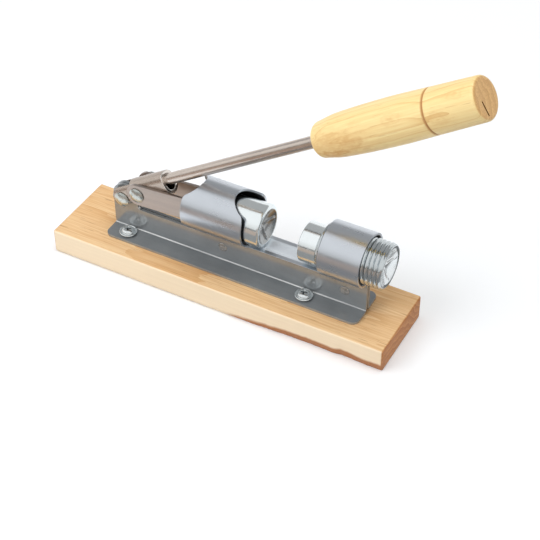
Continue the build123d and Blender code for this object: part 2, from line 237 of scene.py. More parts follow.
def plateMetal(name, finish):
    look = {**plating, **finish}
    material, tree, shader, spot = startMaterial(name)
    tone = noiseFac(tree, spot, look["blotch"], *look["toneNoise"])
    fine = noiseFac(tree, spot, look["grain"], *look["fineNoise"])
    drawn = turnSpot(tree, spot, look["turn"])
    streak = grainFac(tree, drawn, look["streak"], *look["streakNoise"])
    up = partOf(tree, addNode(tree, "ShaderNodeNewGeometry").outputs["Normal"], "Z")
    color = mixColor(tree, tone, look["dark"], look["light"])
    color = shaded(tree, color, streak, zip(look["streakBand"], (1 - look["streakDepth"], 1.0)))
    pitTop = look["pitAt"] + look["pitEdge"]
    color = shaded(tree, color, fine, [(look["pitAt"], 1 - look["pitDepth"]), (pitTop, 1.0)])
    feed(tree, shader, {"Metallic": look["metallic"]})
    if "bend" in look:
        # painted shade: faces that look up are a little darker; painted highlight: the bent corners between
        # them are lighter, broken up unevenly by the streaks
        color = shaded(tree, color, up, look["bend"]["upPaintedShade"])
        bendHighlight = greyRamp(tree, up, look["bend"]["facing"])
        highlightBreakup = greyRamp(tree, streak, look["bend"]["highlightBreakup"])
        color = mixColor(tree, times(tree, bendHighlight, highlightBreakup), color, look["bend"]["color"])
    if "bore" in look:
        # the unpolished inside of a tube, by distance from its axis, is less metallic, and its colour is
        # painted light and shade by where it faces: a light painted reflection where it looks up in the open
        # gutter, painted shade where it looks down overhead
        bore = look["bore"]
        fromAxis = vectorNode(tree, "SUBTRACT", spot, bore["axis"])
        away = vectorNode(tree, "LENGTH", stretch(tree, fromAxis, (0, 1, 1)))
        inside = mathNode(tree, "LESS_THAN", away, bore["radius"])
        color = mixColor(tree, inside, color, ramp(tree, up, bore["colors"]))
        metallic = addNode(tree, "ShaderNodeMapRange", {0: inside, 3: look["metallic"], 4: bore["metallic"]})
        feed(tree, shader, {"Metallic": metallic.outputs[0]})
    blend = plus(tree, times(tree, streak, look["streakRough"]), times(tree, tone, look["toneRough"]))
    rough = greyRamp(tree, blend, zip(look["roughBand"], look["roughness"]))
    masks = {}
    if "bowl" in look:
        # the bowls and the bottoms of screw recesses get a colour and roughness of their own: painted shade
        # darkens the ram and cup bowls and the screw recesses, and the anvil screw's end is lighter
        masks["bowl"] = meshMark(tree, "bowl")
    if "rimHighlight" in look:
        # a painted highlight lightens the cut end of a rolled sheet, beyond a place along its length
        masks["rimHighlight"] = mathNode(tree, "GREATER_THAN", partOf(tree, drawn, "X"), look["rimHighlight"]["from"])
    for kind, mask in masks.items():
        color = mixColor(tree, mask, color, look[kind]["color"])
        rough = mixColor(tree, mask, rough, grey(look[kind]["roughness"]))
    rounded = addNode(tree, "ShaderNodeBevel", {"Radius": look["edge"] * mm}, samples=look["bevelSamples"])
    relief = plus(tree, times(tree, fine, look["fineRelief"]), streak)
    bump = addNode(tree, "ShaderNodeBump", {
        "Strength": look["bump"], "Distance": look["bumpReach"], "Height": relief,
        "Normal": rounded.outputs[0]})
    feed(tree, shader, {"Base Color": color, "Roughness": rough, "Normal": bump.outputs[0]})
    return material


ownFinish = {"near_link": "linkPlate", "far_link": "linkPlate", "lever_rod": "rodPlate", "yoke": "yokePlate",
             "rear_web_rivet": "webRivet", "front_web_rivet": "webRivet"}
metals = {finish: plateMetal(finish, look) for finish, look in finishes.items()}
for row in frame["record"]["subparts"]:
    finish = ownFinish.get(row["node"], row["material_slot"])
    if finish in metals:
        nodes[row["node"]].data.materials.clear()
        nodes[row["node"]].data.materials.append(metals[finish])
print("metal finishes set,", len(metals))


# wood: growth rings about a pith, with fibres, pores and end grain

wood = {
    # scale along each axis, detail and roughness of each noise
    "grains": {
        "bend": ((9, 45, 45), 3, 0.5), "fibre": ((16, 700, 700), 4, 0.65),
        "cloud": ((14, 40, 40), 4, 0.6), "pore": ((60, 1500, 1500), 2, 0.5),
        "uneven": ((90, 260, 260), 3, 0.6), "speck": ((120, 900, 900), 3, 0.6),
    },
    "ringWave": {"Distortion": 1.2, "Detail": 2.0, "Detail Scale": 2.0, "Detail Roughness": 0.6},
    # where each noise starts and stops to tint the wood
    "tints": {"cloud": [(0.35, 0.0), (0.75, 1.0)], "fibre": [(0.35, 1.0), (0.62, 0.0)],
              "pore": [(0.27, 1.0), (0.34, 0.0)]},
    "speckTint": [(0.35, 0.45), (0.6, 0.0)],
    "knotWarp": 1.5, "knotRings": 15.0, "knotRipple": 0.28, "knotBase": 0.62,
    "knotHeart": [(0.0, 1.0), (0.3, 0.6), (1.0, 0.0)],
    "roughBand": (0.3, 0.7), "roughRise": 0.12, "coatRoughness": 0.3, "poreRelief": 0.6, "bumpReach": 0.0003,
}


def woodMaterial(name, look):
    material, tree, shader, spot = startMaterial(name)
    inputs = {"Vector": spot, "Location": look["place"], "Rotation": look["turn"]}
    local = addNode(tree, "ShaderNodeMapping", inputs, vector_type="TEXTURE").outputs[0]
    grain = {kind: grainFac(tree, local, *settings) for kind, settings in wood["grains"].items()}
    bend = times(tree, grain["bend"], look["ringBend"])
    shift = addNode(tree, "ShaderNodeCombineXYZ", {"Y": bend, "Z": bend}).outputs[0]
    ringSpot = stretch(tree, local, (look["ringStretch"], 1, 1), look["pith"])
    bent = vectorNode(tree, "ADD", ringSpot, shift)
    inputs = {"Vector": bent, "Scale": look["ringScale"], **wood["ringWave"]}
    rings = addNode(tree, "ShaderNodeTexWave", inputs, wave_type="RINGS", rings_direction="X",
                    wave_profile="SAW").outputs[1]
    color = ramp(tree, rings, look["ringColors"])
    for kind, stops in wood["tints"].items():
        share = greyRamp(tree, grain[kind], [(place, value * look[kind + "Share"]) for place, value in stops])
        color = mixColor(tree, share, color, look[kind + "Color"])
    if "knots" in look:
        # brown hearts drawn out along the grain, with a few uneven rings about them
        drawn = stretch(tree, local, (look["knotDraw"], 1, 1))
        warp = times(tree, mathNode(tree, "SUBTRACT", grain["uneven"], 0.5), wood["knotWarp"])
        for place, reach, strength in look["knots"]:
            middle = (place[0] * look["knotDraw"], place[1], place[2])
            away = mathNode(tree, "DIVIDE", vectorNode(tree, "DISTANCE", drawn, middle), reach)
            away = plus(tree, away, warp)
            ripple = mathNode(tree, "SINE", times(tree, away, wood["knotRings"]), 0.0)
            ripple = plus(tree, times(tree, ripple, wood["knotRipple"]), wood["knotBase"])
            heart = greyRamp(tree, away, wood["knotHeart"])
            share = times(tree, heart, times(tree, ripple, strength))
            color = mixColor(tree, share, color, look["knotColor"])
    # painted light on the board's long faces, end grain, and dark marks come from the mesh's own attributes;
    # the dark marks are the handle's real burnt groove and, on the board's waney edge, darker wood with
    # painted shade
    if "paintedSideLightShare" in look:
        paintedSideLight = times(tree, meshMark(tree, "paintedSideLight"), look["paintedSideLightShare"])
        color = mixColor(tree, paintedSideLight, color, look["paintedSideLightColor"])
    endMask = meshMark(tree, "endGrain")
    endColor = mixColor(tree, rings, look["endLight"], look["endDark"])
    endColor = mixColor(tree, greyRamp(tree, grain["speck"], wood["speckTint"]), endColor, look["poreColor"])
    color = mixColor(tree, endMask, color, endColor)
    color = mixColor(tree, meshMark(tree, "darkMarkAndShade"), color, look["darkMarkAndShadeColor"])
    shine = {"Specular IOR Level": look["gloss"], "Coat Weight": look["coat"]}
    feed(tree, shader, {**shine, "Coat Roughness": wood["coatRoughness"]})
    if "check" in look:
        # painted shade in a check in the end grain: a dark colour without shine, in a box of the local frame
        axes = addNode(tree, "ShaderNodeSeparateXYZ", {0: local}).outputs
        box = zip(axes, look["check"]["middle"], look["check"]["half"])
        inside = 1.0
        for along, middle, half in box:
            within = addNode(tree, "ShaderNodeMath", {0: along, 1: middle, 2: half}, operation="COMPARE")
            inside = times(tree, within.outputs[0], inside)
        color = mixColor(tree, inside, color, look["check"]["color"])
        smooth = mathNode(tree, "SUBTRACT", 1.0, inside)
        for socket, value in shine.items():
            feed(tree, shader, {socket: times(tree, smooth, value)})
    roughness = (look["roughness"] + wood["roughRise"], look["roughness"])
    rough = greyRamp(tree, grain["fibre"], zip(wood["roughBand"], roughness))
    relief = plus(tree, grain["fibre"], times(tree, grain["pore"], wood["poreRelief"]))
    relief = plus(tree, relief, times(tree, endMask, grain["speck"]))
    bump = addNode(tree, "ShaderNodeBump", {
        "Strength": look["bump"], "Distance": wood["bumpReach"], "Height": relief})
    feed(tree, shader, {"Base Color": color, "Roughness": rough, "Normal": bump.outputs[0]})
    return material


# helpers for meshes and pieces

def placed(data, name):
    item = bpy.data.objects.new(name, data)
    bpy.context.scene.collection.objects.link(item)
    return item


def makePiece(name, mesh, body, slot, material, *stands):
    piece = placed(mesh, name)
    mesh.materials.clear()
    mesh.materials.append(material)
    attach(piece, body)
    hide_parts(*stands)


def smoothstep(low, high, value):
    share = min(1.0, max(0.0, (value - low) / (high - low)))
    return share * share * (3 - 2 * share)


def quarterTurn(steps):
    return [radians(90 * step / steps) for step in range(steps + 1)]


def nearEnd(end, band, value):
    # rises from 0 to 1 between two distances before an end
    return smoothstep(end - band[0], end - band[1], value)


def fillAttribute(mesh, name, values):
    layer = mesh.attributes.new(name, "FLOAT", "POINT")
    layer.data.foreach_set("value", values)


def skin(work, rows):
    # bands of faces round and between rows of as many vertices
    for first, second in zip(rows, rows[1:]):
        for index in range(len(first)):
            after = (index + 1) % len(first)
            work.faces.new((first[index], first[after], second[after], second[index]))


def meshOf(work, name):
    mesh = bpy.data.meshes.new(name)
    work.to_mesh(mesh)
    work.free()
    return mesh


def smoothMeshOf(work, name):
    bmesh.ops.recalc_face_normals(work, faces=work.faces)
    mesh = meshOf(work, name)
    mesh.shade_smooth()
    return mesh


def sharpen(mesh, degrees):
    mesh.set_sharp_from_angle(angle=radians(degrees))
    return mesh


def evaluatedMesh(helper):
    graph = bpy.context.evaluated_depsgraph_get()
    return bpy.data.meshes.new_from_object(helper.evaluated_get(graph))


def boxMesh(low, high):
    work = bmesh.new()
    bmesh.ops.create_cube(work, size=1.0)
    for vert in work.verts:
        vert.co = Vector([(a + b) / 2 + share * (b - a) for a, b, share in zip(low, high, vert.co)]) * mm
    return meshOf(work, "cutter")


def cutMesh(mesh, cutters):
    blank = placed(mesh, "blank")
    helpers = [placed(cutter, "cutter") for cutter in cutters]
    for helper in helpers:
        cut = blank.modifiers.new("cut", "BOOLEAN")
        cut.operation, cut.object, cut.solver, cut.use_self = "DIFFERENCE", helper, "EXACT", True
    result = evaluatedMesh(blank)
    for helper in [blank] + helpers:
        bpy.data.objects.remove(helper)
    return result


# base board: planed wood with eased edges and a rough waney lower edge at the near side

board = {
    "length": 250.0, "width": 60.0, "thickness": 18.5, "edge": 1.1,
    "edgeSteps": 5, "stations": 150, "acrossSteps": 14, "upSteps": 6,
    "waneStart": -8.0, "waneFull": 70.0, "waneHeight": 5.4, "waneDepth": 2.3, "waneBand": (0.6, 1.6),
    "jagAt": 96.0, "jagRise": 5.0, "jagFall": 16.0, "jagDrop": 1.6,
    # height, waves in a millimetre and row of each ripple in the waney edge
    "rippleShare": 0.22, "ripples": [(0.7, 0.06, 3.1), (0.35, 0.3, 7.7)],
    "chipHeight": 0.25, "chipAlong": 0.5, "chipUp": 2.5, "chipRow": 1.3,
    "unevenness": 0.12, "dentScale": (0.04, 0.09, 0.2), "dentReach": 40, "flatBelow": 2,
    "endBand": (1.0, 0.3), "paintedSideLightBand": (0.9, 0.2),
}
boardLook = {
    "place": (0, 0, 0), "turn": (0, 0, 0), "pith": (0, 0.021, 0.055),
    "ringStretch": 0.06, "ringBend": 0.012, "ringScale": 75.0,
    "ringColors": [(0.0, rgb(240, 203, 153)), (0.7, rgb(234, 192, 139)), (1.0, rgb(217, 168, 112))],
    "cloudShare": 0.55, "cloudColor": rgb(247, 216, 171), "fibreShare": 0.5, "fibreColor": rgb(200, 142, 84),
    # painted light lightens the board's long faces
    "poreShare": 0.65, "poreColor": rgb(160, 104, 60), "paintedSideLightShare": 0.85, "paintedSideLightColor": rgb(255, 236, 206),
    # the dark mark colour on the waney edge is its own darker wood with painted shade
    "endLight": rgb(216, 152, 92), "endDark": rgb(190, 118, 62), "darkMarkAndShadeColor": rgb(184, 118, 66),
    "roughness": 0.5, "gloss": 0.35, "coat": 0.08, "bump": 0.25,
}


def waneAt(x):
    # height of the rough facet on the near face, growing towards the anvil end
    grown = smoothstep(board["waneStart"], board["waneFull"], x) * board["waneHeight"]
    ripple = sum(height * noise.noise((x * waves, row, 0)) for height, waves, row in board["ripples"])
    jag = board["jagDrop"] * smoothstep(board["jagAt"] - board["jagRise"], board["jagAt"], x)
    jag *= 1 - smoothstep(board["jagAt"], board["jagAt"] + board["jagFall"], x)
    return max(0.0, grown * (1 + board["rippleShare"] * ripple) + jag * grown / board["waneHeight"])


def straightRun(start, end, steps):
    # the points between two corners of the outline
    shares = [step / steps for step in range(1, steps)]
    return [(start[0] + (end[0] - start[0]) * share, start[1] + (end[1] - start[1]) * share, 0.0)
            for share in shares]


def boardSection(x, shrink):
    # outline of the board across its length, as (y, z, mark) points from the near lower edge round, where
    # mark darkens the waney facet: its own darker wood with painted shade
    a = board["width"] / 2 - shrink
    low, high = shrink, board["thickness"] - shrink
    edge = board["edge"]
    wane = waneAt(x)
    up = max(wane, edge)
    back = max(board["waneDepth"] * wane / board["waneHeight"], edge)
    # darkening of the waney facet: its own darker wood and painted shade where it faces down
    mark = smoothstep(*board["waneBand"], wane)
    points = []
    for step in range(board["edgeSteps"] + 1):
        share = step / board["edgeSteps"]
        chip = noise.noise((x * board["chipAlong"], share * board["chipUp"], board["chipRow"]))
        rough = board["chipHeight"] * chip if wane > edge else 0.0
        points.append((-a + back * (1 - share) + rough, low + up * share, mark))
    corners = [(-a + edge, high - edge, 180), (a - edge, high - edge, 90), (a - edge, low + edge, 0)]
    for index, (y, z, start) in enumerate(corners):
        steps = board["upSteps"] if index != 1 else board["acrossSteps"]
        first = (y + edge * cos(radians(start)), z + edge * sin(radians(start)))
        points += straightRun(points[-1], first, steps)
        for step in range(board["edgeSteps"] + 1):
            angle = radians(start - 90 * step / board["edgeSteps"])
            points.append((y + edge * cos(angle), z + edge * sin(angle), 0.0))
    return points + straightRun(points[-1], points[0], board["acrossSteps"])


def boardMesh():
    half, edge, inner = board["length"] / 2, board["edge"], board["stations"]
    eased = [(-half + edge * (1 - cos(angle)), edge * (1 - sin(angle)))
             for angle in quarterTurn(board["edgeSteps"])]
    places = eased + [(-half + edge + (board["length"] - 2 * edge) * s / inner, 0.0) for s in range(1, inner)]
    places += [(-x, shrink) for x, shrink in reversed(eased)]
    work = bmesh.new()
    darkMarkAndShade, end, paintedSideLight = [work.verts.layers.float.new(mark) for mark in ("darkMarkAndShade", "endGrain", "paintedSideLight")]
    rows = []
    for x, shrink in places:
        row = []
        for y, z, wane in boardSection(x, shrink):
            spot = [scale * value for scale, value in zip(board["dentScale"], (x, y, z))]
            dent = board["unevenness"] * (noise.noise(spot) - 0.5)
            across = y * (1 + dent / board["width"])
            up = z if z < board["flatBelow"] else z * (1 + dent / board["dentReach"])
            vert = work.verts.new((x * mm, across * mm, up * mm))
            vert[darkMarkAndShade] = wane
            vert[end] = nearEnd(half, board["endBand"], abs(x))
            # painted light on the long faces
            vert[paintedSideLight] = nearEnd(board["width"] / 2, board["paintedSideLightBand"], abs(y))
            row.append(vert)
        rows.append(row)
    skin(work, rows)
    caps = [work.faces.new(row) for row in (rows[0], rows[-1])]
    bmesh.ops.triangulate(work, faces=caps)
    return smoothMeshOf(work, "boardWood")


boardWood = woodMaterial("boardWood", boardLook)
makePiece("boardPlank", boardMesh(), "frame", "board_wood", boardWood, "base_board")
print("board made")


# turned handle: the lathe profile runs along the lever, with a burnt groove and a checked end

handle = {
    "start": 173.2, "end": 291.4, "bore": 4.05, "boreDepth": 40.0,
    "segments": 112, "steps": 70, "sharpAngle": 40,
    "sides": [(3.4, 11.4), (16.8, 13.4), (54.8, 14.5), (84.4, 13.9), (116.6, 13.2)],
    "nose": 8.0, "noseSteps": 8, "endRound": 2.2, "endSteps": 6, "endBand": (0.7, 0.2),
    "endDish": 0.25, "endRings": (0.85, 0.65, 0.45, 0.25, 0.1, 0.0),
    "grooveAt": 257.6, "grooveWidth": 1.5, "grooveDepth": 0.7, "grooveSteps": 10, "grooveReach": 1.6,
    "grooveTaper": 1.7, "groovePower": 0.8, "grooveClear": 2, "burnShare": 0.85, "burnBand": (0.3, 1.3),
    "crackSide": -5.15, "crackLow": -5.6, "crackHigh": 3.6,
    "crackWidth": 0.8, "crackDepth": 2.5, "crackOver": 2,
}
handleLook = {
    "place": Vector(lever["pivot"]) * mm, "turn": (0, leverTurn, 0), "pith": (0, 0.012, -0.020),
    "ringStretch": 0.1, "ringBend": 0.02, "ringScale": 60.0,
    "ringColors": [(0.0, rgb(250, 224, 159)), (0.8, rgb(247, 218, 152)), (0.92, rgb(240, 205, 137)),
                   (1.0, rgb(226, 182, 114))],
    "cloudShare": 0.5, "cloudColor": rgb(251, 229, 170), "fibreShare": 0.3, "fibreColor": rgb(224, 178, 106),
    "poreShare": 0.4, "poreColor": rgb(190, 138, 76),
    "endLight": rgb(238, 194, 128), "endDark": rgb(218, 168, 104), "darkMarkAndShadeColor": rgb(176, 116, 54),
    "roughness": 0.4, "gloss": 0.45, "coat": 0.25, "bump": 0.12,
    # place, reach and strength of each knot
    "knots": [((0.1875, -0.0115, -0.0035), 0.02, 1.0), ((0.198, -0.0135, 0.0035), 0.011, 0.5),
              ((0.2665, -0.0138, 0.0035), 0.006, 0.7), ((0.236, -0.012, 0.0105), 0.005, 0.5),
              ((0.281, -0.0083, 0.0144), 0.005, 0.5)],
    "knotDraw": 0.5, "knotColor": rgb(214, 158, 88),
    # painted shade in the check
    "check": {"middle": (0.2905, -0.00515, -0.001), "half": (0.0017, 0.00048, 0.0047),
              "color": rgb(112, 66, 30)},
}
leverFrame = Matrix.Translation(Vector(lever["pivot"]) * mm) @ Matrix.Rotation(leverTurn, 4, "Y")


def handleRadius(along):
    # smooth curve through the turned sizes, measured from the nose
    points = handle["sides"]
    for index in range(len(points) - 1):
        if along <= points[index + 1][0] or index == len(points) - 2:
            break
    before = points[max(index - 1, 0)]
    first, second = points[index], points[index + 1]
    beyond = points[min(index + 2, len(points) - 1)]
    span = second[0] - first[0]
    firstSlope = (second[1] - before[1]) / (second[0] - before[0])
    secondSlope = (beyond[1] - first[1]) / (beyond[0] - first[0])
    t = (along - first[0]) / span
    return ((2 * t**3 - 3 * t**2 + 1) * first[1] + (t**3 - 2 * t**2 + t) * span * firstSlope
            + (3 * t**2 - 2 * t**3) * second[1] + (t**3 - t**2) * span * secondSlope)


def handleProfile():
    start, end, bore, nose = [handle[key] for key in ("start", "end", "bore", "nose")]
    noseRound = handle["sides"][0][1] - nose
    profile = [(start + handle["boreDepth"], 0.0), (start + handle["boreDepth"], bore), (start, bore)]
    for angle in quarterTurn(handle["noseSteps"]):
        profile.append((start + noseRound * (1 - cos(angle)), nose + noseRound * sin(angle)))
    last = end - handle["endRound"]
    for step in range(1, handle["steps"]):
        along = start + noseRound + (last - start - noseRound) * step / handle["steps"]
        if abs(along - handle["grooveAt"]) >= handle["grooveClear"] * handle["grooveWidth"]:
            profile.append((along, handleRadius(along - start)))
    for step in range(-handle["grooveSteps"], handle["grooveSteps"] + 1):
        across = step / handle["grooveSteps"] * handle["grooveReach"]
        along = handle["grooveAt"] + across * handle["grooveWidth"]
        dip = max(0.0, 1 - abs(across) * handle["grooveTaper"]) ** handle["groovePower"]
        profile.append((along, handleRadius(along - start) - handle["grooveDepth"] * dip))
    profile.sort(key=lambda point: point[0] if point[1] > bore + slack else -1)
    endRadius = handleRadius(last - start)
    for angle in quarterTurn(handle["endSteps"]):
        inset = handle["endRound"] * (1 - cos(angle))
        profile.append((last + handle["endRound"] * sin(angle), endRadius - inset))
    for share in handle["endRings"]:
        profile.append((end - handle["endDish"] * (1 - share), (endRadius - handle["endRound"]) * share))
    return profile


def noMarks(along, radius):
    return {}


def plainTurn(along, radius, angle):
    return along, radius


def turned(name, profile, segments, place, marks=noMarks, shape=plainTurn):
    # lathe about +X, then put in place
    # marks gives the attributes of a profile point, shape bends the turned surface
    work = bmesh.new()
    layers = {key: work.verts.layers.float.new(key) for key in marks(*profile[0])}
    rings = []
    for along, radius in profile:
        ring = []
        count = segments if radius > 1e-6 else 1
        for step in range(count):
            angle = 2 * pi * step / segments
            x, reach = shape(along, radius, angle)
            vert = work.verts.new(place @ Vector((x * mm, reach * cos(angle) * mm, reach * sin(angle) * mm)))
            for key, value in marks(along, radius).items():
                vert[layers[key]] = value
            ring.append(vert)
        rings.append(ring)
    for first, second in zip(rings, rings[1:]):
        for step in range(segments):
            after = (step + 1) % segments
            if len(first) == 1 and len(second) > 1:
                work.faces.new((first[0], second[step], second[after]))
            elif len(second) == 1 and len(first) > 1:
                work.faces.new((first[step], first[after], second[0]))
            elif len(first) > 1:
                work.faces.new((first[step], first[after], second[after], second[step]))
    return smoothMeshOf(work, name)


def crackCutter():
    # a thin check in the end grain
    side, half = handle["crackSide"], handle["crackWidth"] / 2
    cutter = boxMesh((handle["end"] - handle["crackDepth"], side - half, handle["crackLow"]),
                     (handle["end"] + handle["crackOver"], side + half, handle["crackHigh"]))
    cutter.transform(leverFrame)
    return cutter


def handleBurn(along):
    return handle["burnShare"] * (1 - smoothstep(*handle["burnBand"], abs(along - handle["grooveAt"])))


handleWood = woodMaterial("handleWood", handleLook)
handlePlace = leverFrame @ Matrix.Translation((0, 0, lever["rodOffset"] * mm))
handleMesh = turned("handleTurned", handleProfile(), handle["segments"], handlePlace)
handleMesh = cutMesh(handleMesh, [crackCutter()])
alongs = [(leverFrame.inverted() @ vert.co).x / mm for vert in handleMesh.vertices]
fillAttribute(handleMesh, "darkMarkAndShade", [handleBurn(along) for along in alongs])
fillAttribute(handleMesh, "endGrain", [nearEnd(handle["end"], handle["endBand"], along) for along in alongs])
sharpen(handleMesh, handle["sharpAngle"])
makePiece("handleTurned", handleMesh, "lever", "handle_wood", handleWood, "handle")
print("handle turned,", len(handleMesh.polygons), "faces")


# wood screws: one turned pan head with a cross recess, set out at the four holes by Geometry Nodes

screw = {
    "places": [(-77.0, -8.8, 20.3), (58.5, -8.8, 20.3), (-77.0, 8.8, 20.3), (58.5, 8.8, 20.3)],
    "turns": [20.0, 14.0, 51.0, 78.0], "headScale": 1.0, "segments": 64, "sharpAngle": 38,
    "profile": [(-16.0, 0.0), (-15.6, 0.3), (-12.0, 2.0), (0.0, 2.0), (0.0, 4.7), (0.45, 4.95), (0.8, 5.6),
                (1.0, 6.0), (1.25, 6.15), (1.55, 6.1), (1.8, 5.85), (1.85, 5.55), (1.7, 5.25), (1.5, 5.0),
                (1.45, 4.6), (1.6, 4.35), (2.1, 4.2), (2.65, 3.95), (3.15, 3.4), (3.5, 2.7), (3.75, 1.8),
                (3.9, 0.9), (3.95, 0.0)],
    "crossWidth": 1.25, "crossReach": 2.7, "crossDepth": 2.1, "crossTaper": 0.55,
    "crossOver": 1.0, "crossFlare": 1.25, "bottomBand": 0.02,
}
screwTop = screw["profile"][-1][0]


def crossCutter():
    # two tapered bars that narrow towards the bottom of the recess
    work = bmesh.new()
    levels = ((screwTop - screw["crossDepth"], screw["crossTaper"]),
              (screwTop + screw["crossOver"], screw["crossFlare"]))
    for swap in (False, True):
        rows = []
        for z, share in levels:
            a, b = screw["crossReach"] * share, screw["crossWidth"] / 2 * share
            a, b = (b, a) if swap else (a, b)
            corners = ((-a, -b), (a, -b), (a, b), (-a, b))
            rows.append([work.verts.new((x * mm, y * mm, z * mm)) for x, y in corners])
        work.faces.new(reversed(rows[0]))
        work.faces.new(rows[1])
        skin(work, rows)
    return meshOf(work, "crossCutter")


def screwMesh():
    upright = Matrix.Rotation(-pi / 2, 4, "Y")
    mesh = cutMesh(turned("screwBlank", screw["profile"], screw["segments"], upright), [crossCutter()])
    sharpen(mesh, screw["sharpAngle"])
    # the bottom of the recess is marked as bowl, for painted shade
    bottom = (screwTop - screw["crossDepth"]) * mm

    def atBottom(spot):
        return abs(spot.z - bottom) < screw["bottomBand"] * mm and spot.xy.length < screw["crossReach"] * mm

    fillAttribute(mesh, "bowl", [1.0 if atBottom(vert.co) else 0.0 for vert in mesh.vertices])
    return mesh


def screwRowTree(material):
    tree = bpy.data.node_groups.new("screwRow", "GeometryNodeTree")
    sockets = {"Geometry": "NodeSocketGeometry", "Screw": "NodeSocketObject", "Head Scale": "NodeSocketFloat"}
    for name, kind in sockets.items():
        tree.interface.new_socket(name, in_out="INPUT", socket_type=kind)
    tree.interface.new_socket("Geometry", in_out="OUTPUT", socket_type=sockets["Geometry"])
    source = addNode(tree, "NodeGroupInput")
    info = addNode(tree, "GeometryNodeObjectInfo", {"Object": source.outputs["Screw"]})
    turn = addNode(tree, "GeometryNodeInputNamedAttribute", {"Name": "turn"}, data_type="FLOAT")
    facing = addNode(tree, "ShaderNodeCombineXYZ", {"Z": turn.outputs["Attribute"]})
    heads = addNode(tree, "GeometryNodeInstanceOnPoints", {
        "Points": source.outputs["Geometry"], "Instance": info.outputs["Geometry"],
        "Rotation": facing.outputs[0], "Scale": source.outputs["Head Scale"]})
    real = addNode(tree, "GeometryNodeRealizeInstances", {"Geometry": heads.outputs[0]})
    dressed = addNode(tree, "GeometryNodeSetMaterial", {"Geometry": real.outputs[0], "Material": material})
    addNode(tree, "NodeGroupOutput", {"Geometry": dressed.outputs[0]})
    return tree


def setInput(modifier, name, value):
    for item in modifier.node_group.interface.items_tree:
        if item.item_type == "SOCKET" and item.in_out == "INPUT" and item.name == name:
            modifier[item.identifier] = value


def screwRow():
    points = bpy.data.meshes.new("screwPoints")
    points.from_pydata([Vector(place) * mm for place in screw["places"]], [], [])
    fillAttribute(points, "turn", [radians(turn) for turn in screw["turns"]])
    carrier = placed(points, "screwPoints")
    sample = placed(screwMesh(), "screwSample")
    row = carrier.modifiers.new("screwRow", "NODES")
    row.node_group = screwRowTree(metals["screw_zinc"])
    setInput(row, "Screw", sample)
    setInput(row, "Head Scale", screw["headScale"])
    mesh = evaluatedMesh(carrier)
    carrier.modifiers.remove(row)
    for helper in (carrier, sample):
        bpy.data.objects.remove(helper)
    return mesh


makePiece("woodScrews", screwRow(), "frame", "screw_zinc", metals["screw_zinc"],
          "near_rear_screw", "near_front_screw", "far_rear_screw", "far_front_screw")
print("screws set out")


# ram, cup and anvil screw: turned pieces with a ribbed bowl in the end

bowl = {
    "rimWall": 2.6, "depth": 5.0, "floorShare": 0.86, "curve": 2.2, "steps": 26, "markInset": 0.3,
    "arms": 4, "ribHeight": 1.25, "ribWidth": 1.0, "ribIn": (0.0, 0.3), "ribOut": (0.7, 1.0), "rimSteps": 8,
}


def bowlProfile(face, outer, inward):
    # rings from the rim of a bowl down to its middle; inward is the way that the bowl goes along the axis
    rim = outer - bowl["rimWall"]
    rings = []
    for step in range(bowl["steps"] + 1):
        radius = rim * (1 - step / bowl["steps"])
        sunk = 1 - (radius / rim) ** bowl["curve"]
        rings.append((face + inward * bowl["depth"] * bowl["floorShare"] * sunk, radius))
    return rings


def ribLift(radius, rim, angle):
    # height of the ribs above the bowl: rounded arms that fade out at the rim and in the middle
    if radius >= rim:
        return 0.0
    lift = 0.0
    for arm in range(bowl["arms"]):
        offset = angle - 2 * pi * arm / bowl["arms"]
        if cos(offset) > 0:
            across = radius * sin(offset) / bowl["ribWidth"]
            lift = max(lift, exp(-across**2))
    out = radius / rim
    return bowl["ribHeight"] * lift * smoothstep(*bowl["ribIn"], out) * (1 - smoothstep(*bowl["ribOut"], out))


def ribbedBowl(face, rim, inward):
    # lifts the ribs out of the bowl in a turned piece's end
    def shape(along, radius, angle):
        inside = abs(along - face) < bowl["depth"] + slack
        return along - inward * (ribLift(radius, rim, angle) if inside else 0.0), radius
    return shape


def bowlMarks(face, rim):
    # marks the rings that lie in a bowl, for a colour and roughness of their own: painted shade in the ram
    # and cup bowls, a lighter colour on the anvil screw's end
    def marks(along, radius):
        inside = radius < rim - bowl["markInset"] and abs(along - face) < bowl["depth"]
        return {"bowl": 1.0 if inside else 0.0}
    return marks


def roundRim(face, outer, size, inward):
    # quarter round from the side of a turned piece on to its end face
    return [(face + inward * size * (1 - sin(angle)), outer - size * (1 - cos(angle)))
            for angle in quarterTurn(bowl["rimSteps"])]


def onAxis(height):
    return Matrix.Translation((0, 0, height * mm))


ram = {
    "radius": 15.0, "axis": 60.3, "tail": -18.056, "face": 27.144, "rimRound": 2.5, "tailRing": 7.0,
    "tailChamfer": 0.5, "sideSteps": 12, "segments": 128, "sharpAngle": 40,
    "slotFront": 6.874, "slotMiddle": 7.6, "slotWidth": 2.6, "slotOver": 2,
    "holeX": -3.326, "holeZ": 60.67, "holeRadius": 4.4, "holeHalf": 20, "holeSegments": 48,
}


